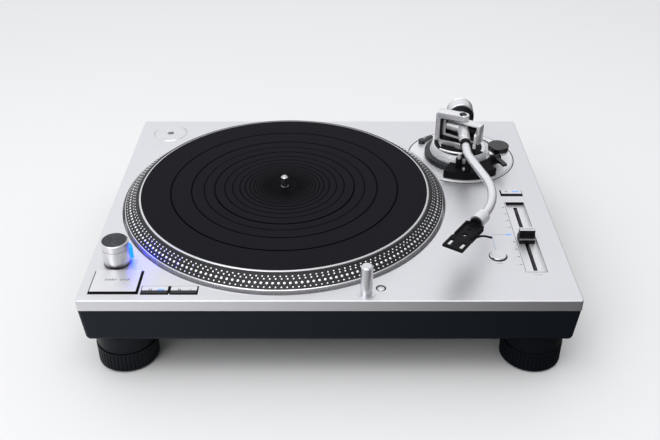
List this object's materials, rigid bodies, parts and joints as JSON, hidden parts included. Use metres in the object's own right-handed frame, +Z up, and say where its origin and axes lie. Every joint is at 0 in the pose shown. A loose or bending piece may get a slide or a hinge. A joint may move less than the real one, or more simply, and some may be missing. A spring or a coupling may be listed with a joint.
{
  "type": "direct-drive turntable",
  "caption": "Direct-drive record player with a dotted platter, an S-shaped gimbal tonearm, a speed fader and screw-down feet.",
  "frame": {"origin": "on the floor under the middle of the cabinet", "axes": "+X to the right seen from the front, +Y to the back, +Z up; the front faces -Y"},
  "size_m": [0.453, 0.353, 0.1482],
  "materials": {
    "silver_metal": "satin",
    "platter_metal": "satin",
    "dark_base": "matte",
    "black_plastic": "matte",
    "foot_rubber": "matte",
    "mat_rubber": "matte",
    "steel": "satin",
    "arm_silver": "satin",
    "weight_metal": "gloss",
    "black_metal": "satin",
    "clear_window": "gloss",
    "board": "matte"
  },
  "bodies": {
    "cabinet": {"top_panel": "silver_metal", "base_shell": "dark_base", "bottom_cover": "black_plastic", "cover_screws": "steel", "main_board": "board", "power_supply": "board", "mains_inlet": "black_plastic", "phono_terminals": "weight_metal", "hinge_sockets": "black_plastic", "foot_cups": "dark_base", "spindle_bearing": "steel", "motor_stator": "steel", "strobe_housing": "silver_metal", "strobe_window": "clear_window", "button_tray": "black_plastic", "lamp_sleeve": "arm_silver", "pitch_bezel": "silver_metal", "pitch_fader_body": "black_plastic", "arm_base_plate": "silver_metal"},
    "platter_body": {"platter": "platter_metal", "rubber_mat": "mat_rubber", "rotor_magnet": "steel", "spindle": "steel"},
    "power_knob_body": {"power_knob": "weight_metal"},
    "start_stop_body": {"start_stop_button": "silver_metal"},
    "speed_33_body": {"speed_button_33": "silver_metal"},
    "speed_45_body": {"speed_button_45": "silver_metal"},
    "range_body": {"range_button": "silver_metal"},
    "reset_body": {"reset_button": "silver_metal"},
    "lamp_button_body": {"lamp_button": "black_plastic"},
    "stylus_lamp_body": {"stylus_lamp": "arm_silver"},
    "pitch_knob_body": {"pitch_knob": "black_plastic"},
    "adapter_body": {"ep_adapter": "platter_metal"},
    "height_dial_body": {"height_dial": "black_plastic"},
    "lock_lever_body": {"arm_lock_lever": "black_plastic"},
    "arm_platform_body": {"arm_platform": "arm_silver", "gimbal_yoke": "arm_silver", "arm_rest": "black_plastic"},
    "antiskate_body": {"antiskate_dial": "black_plastic"},
    "cue_lever_body": {"cue_lever": "black_plastic"},
    "cue_bar_body": {"cue_bar": "steel"},
    "clamp_body": {"arm_clamp": "black_plastic"},
    "gimbal_body": {"gimbal_frame": "arm_silver"},
    "tonearm_body": {"arm_hub": "arm_silver", "arm_tube": "arm_silver", "rear_shaft": "steel"},
    "weight_thread_body": {"weight_thread": "steel"},
    "counterweight_body": {"counterweight": "weight_metal"},
    "force_ring_body": {"force_ring": "black_metal"},
    "nut_body": {"headshell_nut": "arm_silver"},
    "headshell_body": {"headshell": "black_metal", "finger_lift": "black_metal"},
    "foot_stud_1_body": {"foot_stud_1": "steel"},
    "foot_ring_1_body": {"foot_ring_1": "foot_rubber"},
    "foot_stud_2_body": {"foot_stud_2": "steel"},
    "foot_ring_2_body": {"foot_ring_2": "foot_rubber"},
    "foot_stud_3_body": {"foot_stud_3": "steel"},
    "foot_ring_3_body": {"foot_ring_3": "foot_rubber"},
    "foot_stud_4_body": {"foot_stud_4": "steel"},
    "foot_ring_4_body": {"foot_ring_4": "foot_rubber"}
  },
  "joints": [
    {"name": "platter_spin", "type": "hinge", "parent": "cabinet", "child": "platter_body", "pos_m": [-0.047, 0.0008, 0.091], "axis": [0, 0, -1], "continuous": true},
    {"name": "power_turn", "type": "hinge", "parent": "cabinet", "child": "power_knob_body", "pos_m": [-0.2, -0.117, 0.091], "axis": [0, 0, -1], "range_deg": [0, 50]},
    {"name": "start_stop_press", "type": "slide", "parent": "cabinet", "child": "start_stop_body", "axis": [0, 0, -1], "range_m": [0, 0.0012], "stiffness_N_per_m": 600, "springref_m": -0.003},
    {"name": "speed_33_press", "type": "slide", "parent": "cabinet", "child": "speed_33_body", "axis": [0, 0, -1], "range_m": [0, 0.0012], "stiffness_N_per_m": 400, "springref_m": -0.003},
    {"name": "speed_45_press", "type": "slide", "parent": "cabinet", "child": "speed_45_body", "axis": [0, 0, -1], "range_m": [0, 0.0012], "stiffness_N_per_m": 400, "springref_m": -0.003},
    {"name": "range_press", "type": "slide", "parent": "cabinet", "child": "range_body", "axis": [0, 0, -1], "range_m": [0, 0.0012], "stiffness_N_per_m": 400, "springref_m": -0.003},
    {"name": "reset_press", "type": "slide", "parent": "cabinet", "child": "reset_body", "axis": [0, 0, -1], "range_m": [0, 0.0012], "stiffness_N_per_m": 400, "springref_m": -0.003},
    {"name": "lamp_button_press", "type": "slide", "parent": "cabinet", "child": "lamp_button_body", "axis": [0, 0, -1], "range_m": [0, 0.0012], "stiffness_N_per_m": 400, "springref_m": -0.003},
    {"name": "stylus_lamp_slide", "type": "slide", "parent": "cabinet", "child": "stylus_lamp_body", "axis": [0, 0, 1], "range_m": [-0.022, 0]},
    {"name": "pitch_slide", "type": "slide", "parent": "cabinet", "child": "pitch_knob_body", "axis": [0, 1, 0], "range_m": [-0.0443, 0.0559]},
    {"name": "adapter_lift", "type": "slide", "parent": "cabinet", "child": "adapter_body", "axis": [0, 0, 1], "range_m": [0, 0.015]},
    {"name": "height_turn", "type": "hinge", "parent": "cabinet", "child": "height_dial_body", "pos_m": [0.1495, 0.087, 0.091], "axis": [0, 0, 1], "range_deg": [0, 270]},
    {"name": "arm_height_slide", "type": "slide", "parent": "cabinet", "child": "arm_platform_body", "axis": [0, 0, 1], "range_m": [0, 0.006]},
    {"name": "height_lock_turn", "type": "hinge", "parent": "cabinet", "child": "lock_lever_body", "pos_m": [0.108, 0.117, 0.091], "axis": [0, 0, 1], "range_deg": [-12, 12]},
    {"name": "antiskate_turn", "type": "hinge", "parent": "arm_platform_body", "child": "antiskate_body", "pos_m": [0.1893, 0.0765, 0.091], "axis": [0, 0, 1], "range_deg": [0, 270]},
    {"name": "cue_turn", "type": "hinge", "parent": "arm_platform_body", "child": "cue_lever_body", "pos_m": [0.1847, 0.059, 0.1055], "axis": [-0.9361, -0.3518, 0], "range_deg": [0, 35]},
    {"name": "cue_bar_slide", "type": "slide", "parent": "arm_platform_body", "child": "cue_bar_body", "axis": [0, 0, 1], "range_m": [0, 0.0022]},
    {"name": "clamp_turn", "type": "hinge", "parent": "arm_platform_body", "child": "clamp_body", "pos_m": [0.15419, 0.03458, 0.13235], "axis": [-0.1599, -0.9871, 0], "range_deg": [0, 90]},
    {"name": "arm_swing", "type": "hinge", "parent": "arm_platform_body", "child": "gimbal_body", "pos_m": [0.1495, 0.087, 0.1265], "axis": [0, 0, -1], "range_deg": [0, 45]},
    {"name": "arm_tilt", "type": "hinge", "parent": "gimbal_body", "child": "tonearm_body", "pos_m": [0.1495, 0.087, 0.1265], "axis": [-0.8271, 0.5621, 0], "range_deg": [0, 12]},
    {"name": "weight_slide", "type": "slide", "parent": "tonearm_body", "child": "weight_thread_body", "axis": [0.0523, 0.9986, 0], "range_m": [-0.004, 0.004]},
    {"name": "weight_turn", "type": "hinge", "parent": "weight_thread_body", "child": "counterweight_body", "pos_m": [0.15185, 0.13194, 0.1265], "axis": [0.0523, 0.9986, 0], "range_deg": [-720, 720]},
    {"name": "force_ring_turn", "type": "hinge", "parent": "weight_thread_body", "child": "force_ring_body", "pos_m": [0.15102, 0.11596, 0.1265], "axis": [0.0523, 0.9986, 0], "range_deg": [-170, 170]},
    {"name": "nut_turn", "type": "hinge", "parent": "tonearm_body", "child": "nut_body", "pos_m": [0.14083, -0.09869, 0.1265], "axis": [-0.5621, -0.8271, 0], "range_deg": [0, 40]},
    {"name": "headshell_slide", "type": "slide", "parent": "tonearm_body", "child": "headshell_body", "axis": [-0.5621, -0.8271, 0], "range_m": [0, 0.012]},
    {"name": "foot_1_slide", "type": "slide", "parent": "cabinet", "child": "foot_stud_1_body", "axis": [0, 0, -1], "range_m": [0, 0.006]},
    {"name": "foot_1_turn", "type": "hinge", "parent": "foot_stud_1_body", "child": "foot_ring_1_body", "pos_m": [-0.195, -0.1425, 0.02], "axis": [0, 0, 1], "range_deg": [0, 1080]},
    {"name": "foot_2_slide", "type": "slide", "parent": "cabinet", "child": "foot_stud_2_body", "axis": [0, 0, -1], "range_m": [0, 0.006]},
    {"name": "foot_2_turn", "type": "hinge", "parent": "foot_stud_2_body", "child": "foot_ring_2_body", "pos_m": [0.195, -0.1425, 0.02], "axis": [0, 0, 1], "range_deg": [0, 1080]},
    {"name": "foot_3_slide", "type": "slide", "parent": "cabinet", "child": "foot_stud_3_body", "axis": [0, 0, -1], "range_m": [0, 0.006]},
    {"name": "foot_3_turn", "type": "hinge", "parent": "foot_stud_3_body", "child": "foot_ring_3_body", "pos_m": [-0.195, 0.1425, 0.02], "axis": [0, 0, 1], "range_deg": [0, 1080]},
    {"name": "foot_4_slide", "type": "slide", "parent": "cabinet", "child": "foot_stud_4_body", "axis": [0, 0, -1], "range_m": [0, 0.006]},
    {"name": "foot_4_turn", "type": "hinge", "parent": "foot_stud_4_body", "child": "foot_ring_4_body", "pos_m": [0.195, 0.1425, 0.02], "axis": [0, 0, 1], "range_deg": [0, 1080]}
  ],
  "couplings": [
    {"joint": "height_turn", "follows": "arm_height_slide", "rad_per_m": 785.39},
    {"joint": "cue_turn", "follows": "cue_bar_slide", "rad_per_m": 277.66},
    {"joint": "weight_slide", "follows": "weight_turn", "m_per_rad": 0.0003183},
    {"joint": "foot_1_slide", "follows": "foot_1_turn", "m_per_rad": 0.0003183},
    {"joint": "foot_2_slide", "follows": "foot_2_turn", "m_per_rad": 0.0003183},
    {"joint": "foot_3_slide", "follows": "foot_3_turn", "m_per_rad": 0.0003183},
    {"joint": "foot_4_slide", "follows": "foot_4_turn", "m_per_rad": 0.0003183}
  ]
}
